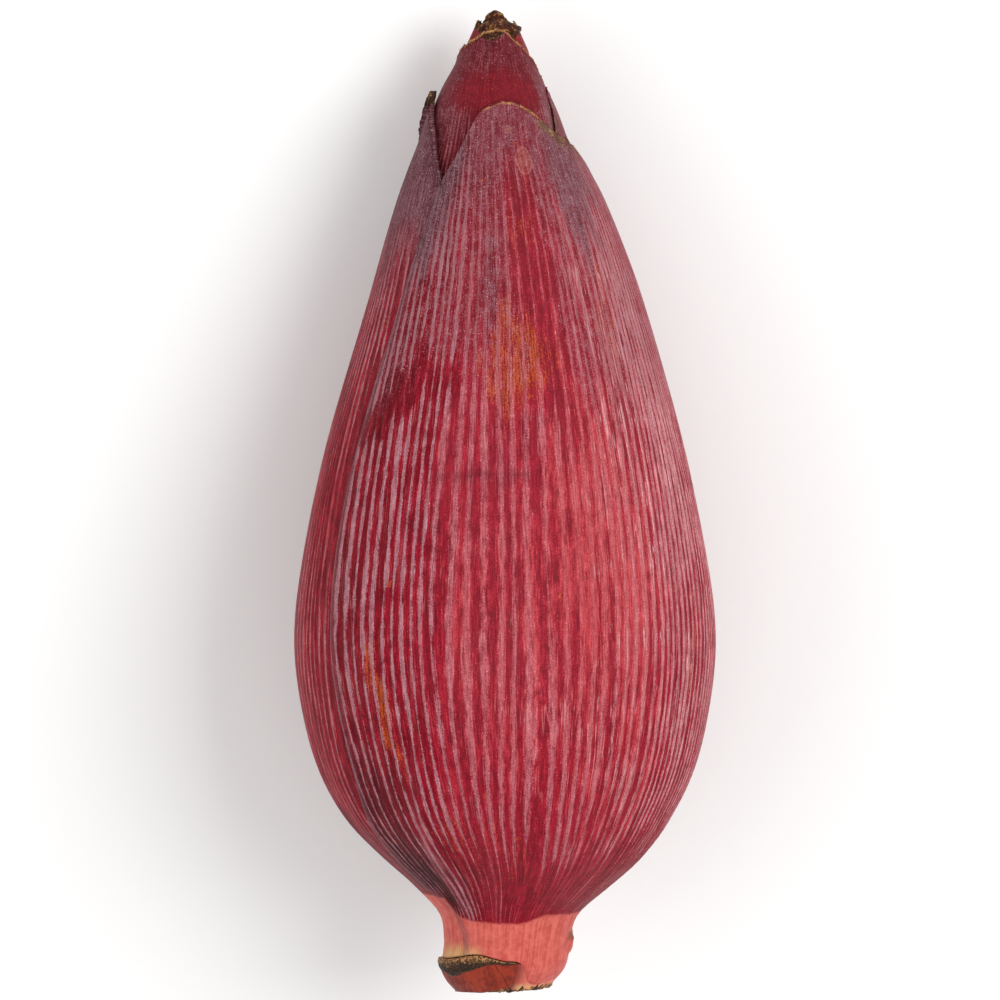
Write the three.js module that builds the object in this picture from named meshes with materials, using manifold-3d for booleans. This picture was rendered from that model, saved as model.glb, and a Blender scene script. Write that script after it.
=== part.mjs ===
// A banana blossom as cut from the plant: a pointed bud of big leathery bracts that wrap over one
// another in a spiral, on a short length of thick stem. It lies on its side with its tip to +Y and
// its cut stem to -Y, and rests on the flattened belly of its right outer bract. Millimetres, +Z up.
//
// Shapes are described in the bud's own frame, whose Y axis is the axis of the bud. A point there has
// a height y above the cut, an angle round the axis (0 is up, 90 is to the right) and a radius.

import * as THREE from "three";
import { mergeVertices } from "three/addons/utils/BufferGeometryUtils.js";
import Module from "manifold-3d";

// Driving dimensions: millimetres, and degrees for angles.
const LENGTH = 265; // from the cut end of the stem to the dried tip
const FLATTEN = 0.96; // depth of the bud as a share of its width
const REST_TILT = 9; // how far the tip is tipped down when the belly rests on a table
const REST_FLAT = 0.8; // how far the belly is pressed flat there
const CUT_SLANT = 1.4; // how much higher the cut is at its right edge than at its left
const BODY_GAP = 0.35; // clearance between the stem and what it carries
const INNERMOST = 7.2; // layers from the outermost bract in to the heart, which has a little room

// Radius of the bud over its outermost bract, as [y, radius]: neck, belly, then a long cone.
const ENVELOPE = [
  [0, 12.0], [3, 14.9], [7.5, 17.3], [14, 17.6], [21, 19.4], [28, 26.5], [36, 35.5], [46, 44.2],
  [60, 51.6], [78, 56.0], [97, 57.5], [120, 54.9], [150, 48.5], [185, 38.2], [213, 28.8], [228, 22.4],
  [239, 18.6], [249, 14.0], [258, 9.9], [LENGTH, 6.6],
];
// Sideways wander of the axis, as [y, x].
const AXIS_SHIFT = [
  [0, -1.2], [12, 0.2], [20, 0.8], [32, 1.9], [50, 0.2], [97, -0.5], [185, -0.4], [213, -1.4],
  [226, -2.2], [LENGTH, -2.3],
];
// Distance from the outer face of one layer to that of the next, and the part of it that is air.
const LAYER_STEP = [
  [0, 1.1], [20, 1.2], [60, 1.9], [150, 1.9], [200, 1.2], [235, 0.92], [LENGTH, 0.82],
];
const LAYER_AIR = [
  [0, 0.35], [20, 0.5], [45, 0.75], [150, 0.75], [200, 0.6], [235, 0.5], [LENGTH, 0.42],
];
// Heights at which every layer has a row of vertices, so that neighbours bend alike.
const ROW_HEIGHTS = [13, 17, 20, 23, 27, 32, 39, 48, 60, 76, 95, 117, 143, 172, 200];
const LEAST_ROW = 1.5; // a shared row this close to a piece's own first row is left out
const OUTER_FOOT = 10; // where the outer three bracts begin, before the base edge shapes them

// Height at which the outer three bracts leave the stem, as [angle, y]: lowest at the front right.
const BASE_EDGE = [
  [-150, 9.5], [-70, 9.4], [-45, 10.2], [-24, 11.0], [0, 9.4], [16, 8.5], [29, 3.6], [45, 2.6],
  [62, 3.6], [100, 3.6], [150, 7], [190, 9.5],
];

// The bracts from the outside in. "left" and "right" are the side margins as [y, angle], and "rim" is
// the top edge as [u, y], where u runs from -1 at the left margin to 1 at the right. Each is about 133
// degrees further round the stem than the one outside it. "foot" is where an inner bract begins.
const BRACTS = [
  {
    name: "front_outer_bract",
    colour: 0x97303f,
    left: [
      [3, -40], [11, -41], [20, -47], [30, -61], [60, -54], [127, -54], [190, -45], [218, -35],
      [240, -35],
    ],
    right: [[3, 100], [97, 114], [218, 106], [240, 106]],
    rim: [
      [-1, 216], [-0.84, 227], [-0.66, 236], [-0.37, 239], [-0.1, 237], [0.1, 232.5], [0.57, 225.5],
      [1, 216],
    ],
    columns: 18,
  },
  {
    name: "left_outer_bract",
    colour: 0x82303c,
    left: [[3, -150], [240, -150]],
    right: [[3, -27], [30, -36], [240, -30]],
    rim: [[-1, 212], [-0.5, 226], [-0.1, 237.5], [0.17, 243], [0.42, 238.5], [0.7, 229], [1, 215]],
    columns: 13,
  },
  {
    name: "right_outer_bract",
    colour: 0x7d2c3a,
    left: [[3, 72], [97, 76], [190, 62], [218, 44], [244, 42]],
    right: [[3, 222], [190, 224], [244, 205]],
    rim: [
      [-1, 219], [-0.84, 231.4], [-0.69, 240.6], [-0.43, 244.3], [-0.17, 242], [0.33, 232], [1, 214],
    ],
    columns: 17,
  },
  {
    name: "upper_front_bract",
    colour: 0x6f2330,
    foot: 27,
    left: [[27, -100], [97, -95], [190, -100], [235, -120], [260, -125]],
    right: [[27, 85], [190, 85], [235, 105], [260, 115]],
    rim: [
      [-1, 247], [-0.7, 253.3], [-0.34, 256.6], [0.12, 259.5], [0.38, 256.4], [0.66, 252], [1, 243],
    ],
    columns: 16,
  },
  {
    name: "upper_back_bract",
    colour: 0x74262f,
    foot: 31,
    left: [[31, -230], [190, -230], [262, -245]],
    right: [[31, -60], [190, -60], [235, -40], [262, -8]],
    rim: [[-1, 252], [-0.5, 259], [0.05, 262], [0.6, 261], [1, 258.5]],
    columns: 13,
  },
  {
    name: "right_inner_bract",
    colour: 0x9c3a3c,
    foot: 35,
    left: [[35, 0], [190, 0], [235, 10], [262, 20]],
    right: [[35, 170], [190, 170], [262, 190]],
    rim: [[-1, 255], [-0.5, 260.5], [-0.25, 261.8], [0.2, 260], [1, 252]],
    columns: 13,
  },
  {
    name: "left_inner_bract",
    colour: 0x9a3a36,
    foot: 39,
    left: [[39, -135], [190, -135], [262, -150]],
    right: [[39, 35], [190, 35], [262, 50]],
    rim: [[-1, 254], [-0.3, 261.5], [0, 262.6], [0.4, 261.5], [1, 255]],
    columns: 13,
  },
];
const SWELLING_TOP = 41; // height of the swelling inside the bracts, where the heart begins

const wasm = await Module();
wasm.setup();

// A smooth curve through [x, value] points, evaluated at x and held flat beyond its ends.
function smooth(points, x) {
  const last = points.length - 1;
  if (x <= points[0][0]) return points[0][1];
  if (x >= points[last][0]) return points[last][1];
  const i = points.findIndex((p) => p[0] > x) - 1;
  const slope = (a, b) => (points[b][1] - points[a][1]) / (points[b][0] - points[a][0]);
  const width = points[i + 1][0] - points[i][0];
  const startTangent = slope(Math.max(i - 1, 0), i + 1) * width;
  const endTangent = slope(i, Math.min(i + 2, last)) * width;
  const t = (x - points[i][0]) / width;
  const s = 1 - t;
  return (
    points[i][1] * (1 + 2 * t) * s * s + startTangent * t * s * s +
    points[i + 1][1] * (1 + 2 * s) * t * t - endTangent * s * t * t
  );
}

// Outer radius of a layer, where layer 0 is the outermost bract.
function layerRadius(layer, y) {
  return smooth(ENVELOPE, y) - layer * smooth(LAYER_STEP, y);
}

// The point of the bud's frame at this height, angle and radius.
function budPoint(y, degrees, radius) {
  const angle = THREE.MathUtils.degToRad(degrees);
  return new THREE.Vector3(
    smooth(AXIS_SHIFT, y) + radius * Math.sin(angle), y, FLATTEN * radius * Math.cos(angle),
  );
}

// Moves every vertex of a geometry to where "place" sends it, and merges the seams.
function reshape(geometry, place) {
  const position = geometry.getAttribute("position");
  const vertex = new THREE.Vector3();
  for (let i = 0; i < position.count; i++) {
    vertex.copy(place(vertex.fromBufferAttribute(position, i)));
    position.setXYZ(i, vertex.x, vertex.y, vertex.z);
  }
  geometry.deleteAttribute("normal");
  if (geometry.hasAttribute("uv")) geometry.deleteAttribute("uv");
  const closed = mergeVertices(geometry, 1e-3);
  closed.computeVertexNormals();
  return closed;
}

// A bract: a flat box bent onto its layer. It thins towards its side margins and its rim.
function bractGeometry(bract, layer) {
  const thinAtEdge = 0.4; // share of the thickness that the outer face drops at an edge
  const edgeBand = 0.25; // share of the half width over which it drops
  const rimRows = 5; // rows between the last shared height and the rim
  const foot = bract.foot ?? OUTER_FOOT;
  const shared = [foot, ...ROW_HEIGHTS.filter((y) => y > foot + LEAST_ROW)];
  const rows = shared.length - 1 + rimRows;
  const box = new THREE.BoxGeometry(2, rows, 1, bract.columns, rows, 1).translate(0, rows / 2, 0.5);
  return reshape(box, ({ x: u, y: row, z: outward }) => {
    const below = shared[Math.min(Math.round(row), shared.length - 1)];
    const towardsRim = Math.max(0, (Math.round(row) - shared.length + 1) / rimRows);
    const rimmed = below + (smooth(bract.rim, u) - below) * towardsRim;
    const left = smooth(bract.left, rimmed);
    const right = smooth(bract.right, rimmed);
    const angle = left + ((right - left) * (u + 1)) / 2;
    const y = bract.foot || row > 0.5 ? rimmed : smooth(BASE_EDGE, angle);
    const thickness = smooth(LAYER_STEP, y) - smooth(LAYER_AIR, y);
    const fromMargin = Math.min(1, (1 - Math.abs(u)) / edgeBand);
    const drop = thinAtEdge * thickness * (1 - fromMargin) ** 2;
    const outer = layerRadius(layer, y) - drop;
    const inner = layerRadius(layer, y) - thickness;
    return budPoint(y, angle, outward > 0.5 ? outer : inner);
  });
}

// A body of rings round the bud's axis, each a function from an angle to [radius, y]. The first and
// the last ring close it on the axis.
function ringedGeometry(rings, sides) {
  const lathe = new THREE.LatheGeometry(rings.map((_, i) => new THREE.Vector2(1, i)), sides);
  return reshape(lathe, ({ x, y: ring, z }) => {
    const degrees = THREE.MathUtils.radToDeg(Math.atan2(x, z));
    const [radius, y] = rings[Math.round(ring)](degrees < -150 ? degrees + 360 : degrees);
    return budPoint(y, degrees, radius);
  });
}

// The stem: the cut stub below the bracts, and inside them the swelling that they grow from. The
// stub stands just inside the outermost bract and ends at the base edge, where it steps in.
function stemGeometry() {
  const cutRadius = 12;
  const inset = 0.3; // of the stub, inside the outermost bract
  const outerBracts = 3;
  const narrowsFrom = 23; // height from which the inner bracts leave the swelling
  const perBract = 4; // height from where one leaves it to where the next does
  const sides = 36;
  const edge = (angle) => smooth(BASE_EDGE, angle) - BODY_GAP;
  const cut = (angle) => (CUT_SLANT / 2) * (1 + Math.sin(THREE.MathUtils.degToRad(angle)));
  const stub = (y) => [layerRadius(0, y) - inset, y];
  const wrapped = (y) => {
    const layers = outerBracts + Math.max(0, (y - narrowsFrom) / perBract);
    return [layerRadius(layers, y) - BODY_GAP, y];
  };
  return ringedGeometry([
    () => [0, CUT_SLANT / 2],
    (angle) => [cutRadius, cut(angle)],
    (angle) => stub((cut(angle) + edge(angle)) / 2),
    (angle) => stub(edge(angle)),
    (angle) => wrapped(edge(angle)),
    ...[13, 18, 23, 27, 31, 35, 38, SWELLING_TOP].map((y) => () => wrapped(y)),
    () => [0, SWELLING_TOP],
  ], sides);
}

// The heart: the youngest bracts, still packed into one pointed body.
function heartGeometry() {
  const bottom = SWELLING_TOP + BODY_GAP;
  const bevel = 1.5; // how much narrower the bottom is than the layer it stands in
  const shoulder = bottom + 3;
  const nearTip = [210, 220, 230, 240, 250, 258, 262];
  const heights = [shoulder, ...ROW_HEIGHTS.filter((y) => y > shoulder + LEAST_ROW), ...nearTip];
  const tip = { radius: 1.3, height: 1.2 }; // the blunt cone that closes it
  const sides = 26;
  return ringedGeometry([
    () => [0, bottom],
    () => [layerRadius(INNERMOST, bottom) - bevel, bottom],
    ...heights.map((y) => () => [layerRadius(INNERMOST, y), y]),
    () => [tip.radius, LENGTH - tip.height],
    () => [0, LENGTH],
  ], sides);
}

function solidOf(geometry) {
  return new wasm.Manifold(new wasm.Mesh({
    numProp: 3,
    vertProperties: geometry.getAttribute("position").array,
    triVerts: new Uint32Array(geometry.index.array),
  }));
}

function geometryOf(solid) {
  const { vertProperties, triVerts } = solid.getMesh();
  const geometry = new THREE.BufferGeometry();
  geometry.setAttribute("position", new THREE.BufferAttribute(vertProperties, 3));
  geometry.setIndex(new THREE.BufferAttribute(triVerts, 1));
  geometry.computeVertexNormals();
  return geometry;
}

// Cuts the belly flat where the tilted bud presses on the table.
function pressFlat(geometry) {
  const tilt = THREE.MathUtils.degToRad(REST_TILT);
  const laidDown = geometry.clone().rotateX(-tilt);
  laidDown.computeBoundingBox();
  const table = laidDown.boundingBox.min.z + REST_FLAT;
  const slabDepth = 40;
  const slab = new THREE.BoxGeometry(2 * LENGTH, 2 * LENGTH, slabDepth)
    .translate(0, LENGTH / 2, table - slabDepth / 2)
    .rotateX(tilt);
  const cutter = solidOf(reshape(slab, (vertex) => vertex));
  return geometryOf(solidOf(geometry).subtract(cutter));
}

function piece(name, geometry, colour, roughness) {
  const material = new THREE.MeshStandardMaterial({ color: colour, roughness, metalness: 0 });
  const mesh = new THREE.Mesh(geometry, material);
  mesh.name = name;
  return mesh;
}

const bud = new THREE.Group();
bud.rotation.x = -THREE.MathUtils.degToRad(REST_TILT);
bud.add(piece("stem", stemGeometry(), 0xd86f62, 0.5));
bud.add(piece("heart", heartGeometry(), 0x83252a, 0.45));
BRACTS.forEach((bract, layer) => {
  const bent = bractGeometry(bract, layer);
  const geometry = bract.name === "right_outer_bract" ? pressFlat(bent) : bent;
  bud.add(piece(bract.name, geometry, bract.colour, 0.5));
});

// The origin is under the middle of the bud, on the table.
const blossom = new THREE.Group();
blossom.add(bud);
const extent = new THREE.Box3().setFromObject(bud, true);
const middle = extent.getCenter(new THREE.Vector3());
bud.position.set(-middle.x, -middle.y, -extent.min.z);

export default blossom;
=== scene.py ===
"""A banana blossom lying on its side on a pale table, seen from above.

Every bract, the stem and the heart are fine meshes built over the CAD frame's plain ones. Shapes
are described in the bud's own frame, in millimetres and degrees: Y runs along its axis from the cut
stem to the tip, and angles run round it from the top (0) to the right (90). They become metres in
the row frame at the end. A curve is a list of (place, value) points, which smooth() reads.
"""

import functools
import math

import bpy
import numpy as np
from mathutils import Matrix, Vector


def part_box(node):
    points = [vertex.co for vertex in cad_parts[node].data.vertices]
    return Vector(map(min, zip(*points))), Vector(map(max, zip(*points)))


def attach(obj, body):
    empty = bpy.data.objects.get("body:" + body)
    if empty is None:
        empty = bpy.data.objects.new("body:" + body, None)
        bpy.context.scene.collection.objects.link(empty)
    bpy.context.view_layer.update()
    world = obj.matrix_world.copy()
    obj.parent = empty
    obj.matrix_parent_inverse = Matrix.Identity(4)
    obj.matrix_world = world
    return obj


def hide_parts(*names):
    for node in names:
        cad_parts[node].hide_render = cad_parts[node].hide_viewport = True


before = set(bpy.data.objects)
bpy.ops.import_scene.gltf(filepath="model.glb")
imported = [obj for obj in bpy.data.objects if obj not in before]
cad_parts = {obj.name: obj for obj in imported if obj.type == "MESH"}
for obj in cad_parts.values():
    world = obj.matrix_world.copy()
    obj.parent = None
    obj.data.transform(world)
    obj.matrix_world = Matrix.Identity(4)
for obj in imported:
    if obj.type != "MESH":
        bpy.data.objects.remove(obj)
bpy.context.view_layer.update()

# ---- The bud's shape, as in the CAD model ----
MM = 0.001
LENGTH = 265.0
FLATTEN = 0.96  # the bud's depth as a share of its width
REST_TILT = math.radians(9)
INNERMOST = 7.2  # how many layers in from the surface the heart lies
BODY_GAP = 0.35  # air between the stem and the bracts on it
OUTER_FOOT = 4.0  # nominal height of the outer bracts' lower edge, before BASE_EDGE shapes it
LEAST_THICKNESS = 0.16  # of a bract at its thinned edges
ENVELOPE = [  # radius of the bud's surface, by height
    (0, 12.0), (3, 14.9), (7.5, 17.3), (14, 17.6), (21, 19.4), (28, 26.5), (36, 35.5), (46, 44.2),
    (60, 51.6), (78, 56.0), (97, 57.5), (120, 54.9), (150, 48.5), (185, 38.2), (213, 28.8),
    (228, 22.4), (239, 18.6), (249, 14.0), (258, 9.9), (LENGTH, 6.6),
]
AXIS_SHIFT = [  # how far the axis bends to the right, by height
    (0, -1.2), (12, 0.2), (20, 0.8), (32, 1.9), (50, 0.2), (97, -0.5), (185, -0.4), (213, -1.4),
    (226, -2.2), (LENGTH, -2.3),
]
CUT_SLANT = 1.4  # how much higher the cut is at its right than at its left
# How far each layer lies inside the one before it, and how much of that is air, by height.
LAYER_STEP = [(0, 1.1), (20, 1.2), (60, 1.9), (150, 1.9), (200, 1.2), (235, 0.92), (LENGTH, 0.82)]
LAYER_AIR = [(0, 0.35), (20, 0.5), (45, 0.75), (150, 0.75), (200, 0.6), (235, 0.5), (LENGTH, 0.42)]
BASE_EDGE = [  # height at which the outer bracts leave the stem, by angle
    (-150, 9.5), (-70, 9.4), (-45, 10.2), (-24, 11.0), (0, 9.4), (16, 8.5), (29, 3.6), (45, 2.6),
    (62, 3.6), (100, 3.6), (150, 7), (190, 9.5),
]
RIB_PITCH = 3.8  # degrees from one rib to the next, on average
# Height of the ribs, by height along the bud.
RIB_HEIGHT = [(0, 0), (18, 0.04), (40, 0.24), (80, 0.34), (170, 0.28), (215, 0.1), (240, 0.04)]
PINK_TOP = {  # height at which a bract's pink foot turns red, by angle
    "front_outer_bract": [
        (-50, 26), (-45, 22), (-30, 20), (0, 19.3), (15, 19.5), (30, 21.3), (60, 21.5), (100, 22),
    ],
    "left_outer_bract": [(-150, 25), (-75, 26.5), (-27, 26.5)],
}
OTHER_PINK_TOP = 24.0

# The bracts from the outside in, as in the CAD model: the angle of each side margin by height, and
# the height of the rim from the left margin (-1) to the right (1). The outer ones start at the scar
# on the stem, the others at "foot". Columns and rows set how fine the mesh is.
BRACTS = {
    "front_outer_bract": dict(
        left=[(3, -40), (11, -41), (20, -47), (30, -61), (60, -54), (127, -54), (190, -45),
              (218, -35), (240, -35)],
        right=[(3, 100), (97, 114), (218, 106), (240, 106)],
        rim=[(-1, 216), (-0.84, 227), (-0.66, 236), (-0.37, 239), (-0.1, 237), (0.1, 232.5),
             (0.57, 225.5), (1, 216)],
        columns=318, rows=136, slot="outer_bract_skin",
    ),
    "left_outer_bract": dict(
        left=[(3, -150), (240, -150)],
        right=[(3, -27), (30, -36), (240, -30)],
        rim=[(-1, 212), (-0.5, 226), (-0.1, 237.5), (0.17, 243), (0.42, 238.5), (0.7, 229),
             (1, 215)],
        columns=252, rows=136, slot="outer_bract_skin",
    ),
    "right_outer_bract": dict(
        left=[(3, 72), (97, 76), (190, 62), (218, 44), (244, 42)],
        right=[(3, 222), (190, 224), (244, 205)],
        rim=[(-1, 219), (-0.84, 231.4), (-0.69, 240.6), (-0.43, 244.3), (-0.17, 242), (0.33, 232),
             (1, 214)],
        columns=300, rows=136, slot="outer_bract_skin",
    ),
    "upper_front_bract": dict(
        foot=27,
        left=[(27, -100), (97, -95), (190, -100), (235, -120), (260, -125)],
        right=[(27, 85), (190, 85), (235, 105), (260, 115)],
        rim=[(-1, 247), (-0.7, 253.3), (-0.34, 256.6), (0.12, 259.5), (0.38, 256.4), (0.66, 252),
             (1, 243)],
        columns=240, rows=120, slot="upper_bract_skin",
    ),
    "upper_back_bract": dict(
        foot=31,
        left=[(31, -230), (190, -230), (262, -245)],
        right=[(31, -60), (190, -60), (235, -40), (262, -8)],
        rim=[(-1, 252), (-0.5, 259), (0.05, 262), (0.6, 261), (1, 258.5)],
        columns=200, rows=110, slot="upper_bract_skin",
    ),
    "right_inner_bract": dict(
        foot=35,
        left=[(35, 0), (190, 0), (235, 10), (262, 20)],
        right=[(35, 170), (190, 170), (262, 190)],
        rim=[(-1, 255), (-0.5, 260.5), (-0.25, 261.8), (0.2, 260), (1, 252)],
        columns=200, rows=100, slot="inner_bract_skin",
    ),
    "left_inner_bract": dict(
        foot=39,
        left=[(39, -135), (190, -135), (262, -150)],
        right=[(39, 35), (190, 35), (262, 50)],
        rim=[(-1, 254), (-0.3, 261.5), (0, 262.6), (0.4, 261.5), (1, 255)],
        columns=200, rows=100, slot="inner_bract_skin",
    ),
}
LAYERS = list(BRACTS)


# ---- Curves, noise and places ----
def smooth(points, x):
    """A smooth curve through (x, value) points, held flat beyond its ends. Takes arrays."""
    xs, values = np.array(points, float).T
    x = np.clip(x, xs[0], xs[-1])
    i = np.clip(np.searchsorted(xs, x, side="right") - 1, 0, len(xs) - 2)
    before, after = np.maximum(i - 1, 0), np.minimum(i + 2, len(xs) - 1)
    width = xs[i + 1] - xs[i]
    start = (values[i + 1] - values[before]) / (xs[i + 1] - xs[before]) * width
    end = (values[after] - values[i]) / (xs[after] - xs[i]) * width
    t = (x - xs[i]) / width
    s = 1 - t
    return (
        values[i] * (1 + 2 * t) * s * s + start * t * s * s
        + values[i + 1] * (1 + 2 * s) * t * t - end * s * t * t
    )


def noise(x, y, seed, wrap=64, wrap_y=64):
    """Smooth noise from -1 to 1 whose features are about one unit across. It repeats every
    wrap units along x, so noise round the bud closes on itself."""
    table = np.random.default_rng(seed).uniform(-1, 1, (wrap, wrap_y))
    i, j = np.floor(x).astype(int), np.floor(y).astype(int)
    s, t = x - i, y - j
    s, t = s * s * (3 - 2 * s), t * t * (3 - 2 * t)

    def at(di, dj):
        return table[(i + di) % wrap, (j + dj) % wrap_y]

    low = at(0, 0) * (1 - s) + at(1, 0) * s
    high = at(0, 1) * (1 - s) + at(1, 1) * s
    return low * (1 - t) + high * t


def rough_noise(x, y, seed):
    """Three octaves of noise, for frayed and dried edges."""
    octaves = ((1.0, 1.0), (0.55, 2.1), (0.3, 4.3))
    return sum(
        strength * noise(scale * x, scale * y, seed + number)
        for number, (strength, scale) in enumerate(octaves)
    )


def step_up(low, high, x):
    """0 below low, 1 above high and smooth between, also with low above high."""
    t = np.clip((x - low) / (high - low), 0, 1)
    return t * t * (3 - 2 * t)


def blob(angle, y, at_angle, at_y, wide, tall):
    """A soft-edged oval patch: 1 at its middle, 0 from its edge on."""
    d = np.hypot((angle - at_angle) / wide, (y - at_y) / tall)
    return 1 - step_up(0.4, 1.0, d)


def patches(angle, y, spots):
    """The sum of oval patches, each (strength, angle, height, half its width, half its height)."""
    return sum(strength * blob(angle, y, *spot) for strength, *spot in spots)


def layer_radius(layer, y):
    """The bud's radius at a height, so many layers in from its surface."""
    return smooth(ENVELOPE, y) - layer * smooth(LAYER_STEP, y)


def swell(angle, y):
    """Slow swells and hollows that every layer follows."""
    fade = step_up(20, 45, y) * (1 - step_up(235, 258, y))
    broad = noise(angle / 30, y / 48 + 3, 11, wrap=12)
    close = noise(angle / 15, y / 30 + 7, 12, wrap=24)
    return fade * (0.42 * broad + 0.22 * close)


def bud_points(angle, y, radius):
    """Points of the bud's frame in millimetres."""
    a = np.radians(angle)
    x = smooth(AXIS_SHIFT, y) + radius * np.sin(a)
    return np.stack([x, y, FLATTEN * radius * np.cos(a)], -1)


def tilted(points):
    """The bud's frame tipped to its resting tilt, still in millimetres and not yet in place."""
    c, s = math.cos(REST_TILT), math.sin(REST_TILT)
    x, y, z = np.moveaxis(points, -1, 0)
    return np.stack([x, c * y + s * z, c * z - s * y], -1)


def heart_offset():
    """The move in millimetres that takes the tipped bud to the CAD frame's place, found from the
    heart's box."""
    angle, y = np.meshgrid(np.arange(0, 360, 1.0), np.linspace(44, 258, 400))
    own = tilted(bud_points(angle, y, layer_radius(INNERMOST, y))).reshape(-1, 3)
    tip = tilted(bud_points(0.0, LENGTH, 0.0))
    low, high = (np.array(corner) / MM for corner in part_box("heart"))
    x = (low + high - own.min(0) - own.max(0))[0] / 2
    return np.array([x, high[1] - tip[1], high[2] - own.max(0)[2]])


OFFSET = heart_offset()


def placed(points):
    """Points of the bud's frame in metres, in the row frame. None is below the table."""
    out = tilted(points) + OFFSET
    out[..., 2] = np.maximum(out[..., 2], 0.0)
    return out * MM


# ---- Meshes ----
def packed(fields, y):
    """Named groups of three fields as arrays of vectors, each as large as y."""
    return {key: np.stack([v + 0 * y for v in values], -1) for key, values in fields.items()}


def add_piece(name, node, places, faces, material, attributes, uv):
    """A smooth-shaded piece in a CAD node's stead, from places in metres and quads. Its attributes
    are what the materials read at each vertex."""
    mesh = bpy.data.meshes.new(name)
    mesh.vertices.add(len(places))
    mesh.vertices.foreach_set("co", places.astype(np.float32).ravel())
    mesh.loops.add(faces.size)
    mesh.loops.foreach_set("vertex_index", faces.ravel().astype(np.int32))
    mesh.polygons.add(len(faces))
    loop_starts = np.arange(0, faces.size, faces.shape[1], dtype=np.int32)
    mesh.polygons.foreach_set("loop_start", loop_starts)
    mesh.polygons.foreach_set("use_smooth", np.ones(len(faces), bool))
    layer = mesh.uv_layers.new(name="OFBake")
    layer.data.foreach_set("uv", uv.astype(np.float32).ravel())
    for label, values in attributes.items():
        made = mesh.attributes.new(label, "FLOAT_VECTOR", "POINT")
        made.data.foreach_set("vector", values.astype(np.float32).ravel())
    mesh.update(calc_edges=True)
    mesh.validate()
    mesh.materials.append(material)
    piece = bpy.data.objects.new(name, mesh)
    bpy.context.scene.collection.objects.link(piece)
    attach(piece, "root")
    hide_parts(node)


def grid_quads(rows, columns, closed=False):
    """Quads of a grid of vertices. A closed grid's last column joins its first."""
    across = np.arange(columns if closed else columns - 1)
    row, column = np.meshgrid(np.arange(rows - 1), across, indexing="ij")
    low, high = row * columns, (row + 1) * columns
    after = (column + 1) % columns
    return np.stack([low + column, low + after, high + after, high + column], -1).reshape(-1, 4)


def shell_faces(rows, columns):
    """Quads of a closed shell: an outer grid, an inner grid behind it and the walls between."""
    count = rows * columns
    index = np.arange(count).reshape(rows, columns)
    outer = grid_quads(rows, columns)
    inner = outer[:, ::-1] + count
    walls = []
    for edge in (index[0, ::-1], index[-1], index[:, 0], index[::-1, -1]):
        a, b = edge[:-1], edge[1:]
        walls.append(np.stack([a, b, b + count, a + count], -1))
    return np.concatenate([outer, inner, *walls])


def shell_uv(faces, rows, columns):
    """UVs that give the outer grid most of the square, the inner grid a strip above it, and the
    walls between them two slivers."""
    outer_high, inner_from, inner_high = 0.82, 0.83, 0.11
    wall_outer, wall_inner = 0.955, 0.975
    count = rows * columns
    row, column = np.divmod(faces % count, columns)
    across = column / (columns - 1)
    up = row / (rows - 1)
    inner = faces >= count
    whole_inner = inner.all(1)[:, None]
    wall = (inner.any(1) & ~inner.all(1))[:, None]
    v = np.where(whole_inner, inner_from + inner_high * up, outer_high * up)
    along = np.where(np.ptp(column, axis=1)[:, None] > 0, across, up)
    v = np.where(wall, np.where(inner, wall_inner, wall_outer), v)
    u = np.where(wall, along, across)
    return np.stack([0.004 + 0.992 * u, 0.004 + 0.99 * v], -1).reshape(-1, 2)


def crowded_rows(count):
    """Shares from 0 to 1 that stand closer together near both ends, most at the far end."""
    t = np.linspace(0, 1, count)
    # How much denser the rows are near each end, and over what share of the length.
    at_start, at_end = np.exp(-((t / 0.09) ** 2)), np.exp(-(((1 - t) / 0.11) ** 2))
    density = 1 + 3.3 * at_start + 6.75 * at_end
    total = np.concatenate([[0], np.cumsum(2 / (density[1:] + density[:-1]))])
    return total / total[-1]


# ---- Looks that vary over the surface, as fields of angle and height ----
# Each patch is (strength, angle, height, half its width, half its height).
FRONT_PATCHES = {
    "bloom": [
        (-0.75, -42, 160, 24, 9),  # bare band across the left
        (-0.4, 16, 116, 10, 24),  # worn streak right of the middle
        (-0.1, 6, 168, 20, 30),
        (-0.4, 16, 30, 26, 10),  # bare above the foot
        (-0.3, -46, 38, 20, 24),  # shaded lower left
        (0.16, 4, 70, 34, 28),  # fuller belly
        (0.4, 50, 160, 30, 66),  # thick and pale up the right
        (0.08, 66, 110, 26, 70),
        (0.12, -22, 186, 18, 30),
        (0.24, -6, 154, 17, 26),
    ],
    "coral": [
        (0.95, 32, 128, 22, 48),  # the lit bulge right of the middle
        (0.45, 6, 92, 32, 56),
        (0.45, 36, 68, 26, 40),
        (0.1, 10, 172, 22, 34),
    ],
    "orange": [
        (0.85, 6, 166, 17, 22),  # fleck in front, above the middle
        (0.8, 46, 186, 7, 32),  # streak at the upper right
        (0.9, -36, 80, 5, 20),  # streak at the lower left
        (0.55, 64, 92, 4, 18),
        (0.35, -8, 36, 26, 10),
        (0.35, 12, 205, 12, 16),
    ],
    "grey": [
        (0.5, 48, 216, 20, 20),  # both shoulders of the rim
        # The next patch is painted shade, in grey, in the fold by the left margin under the rim.
        (0.55, -34, 216, 14, 26),
    ],
    "dark": [
        (0.35, -42, 160, 24, 12),  # under the bare band
        (0.15, 16, 116, 10, 24),
        # The next patch is painted shade in the fold at the lower left.
        (0.6, -46, 44, 20, 34),  # in the fold at the lower left
        # The next patch is painted shade in the fold by the left margin, under the rim.
        (0.5, -36, 214, 11, 22),  # left shoulder
        (0.25, -4, 190, 18, 30),
    ],
}


def drift(angle, y, seed, wide=24, tall=34):
    """Slow unevenness from -1 to 1."""
    return noise(angle / wide, y / tall, seed, wrap=int(360 / wide))


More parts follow.
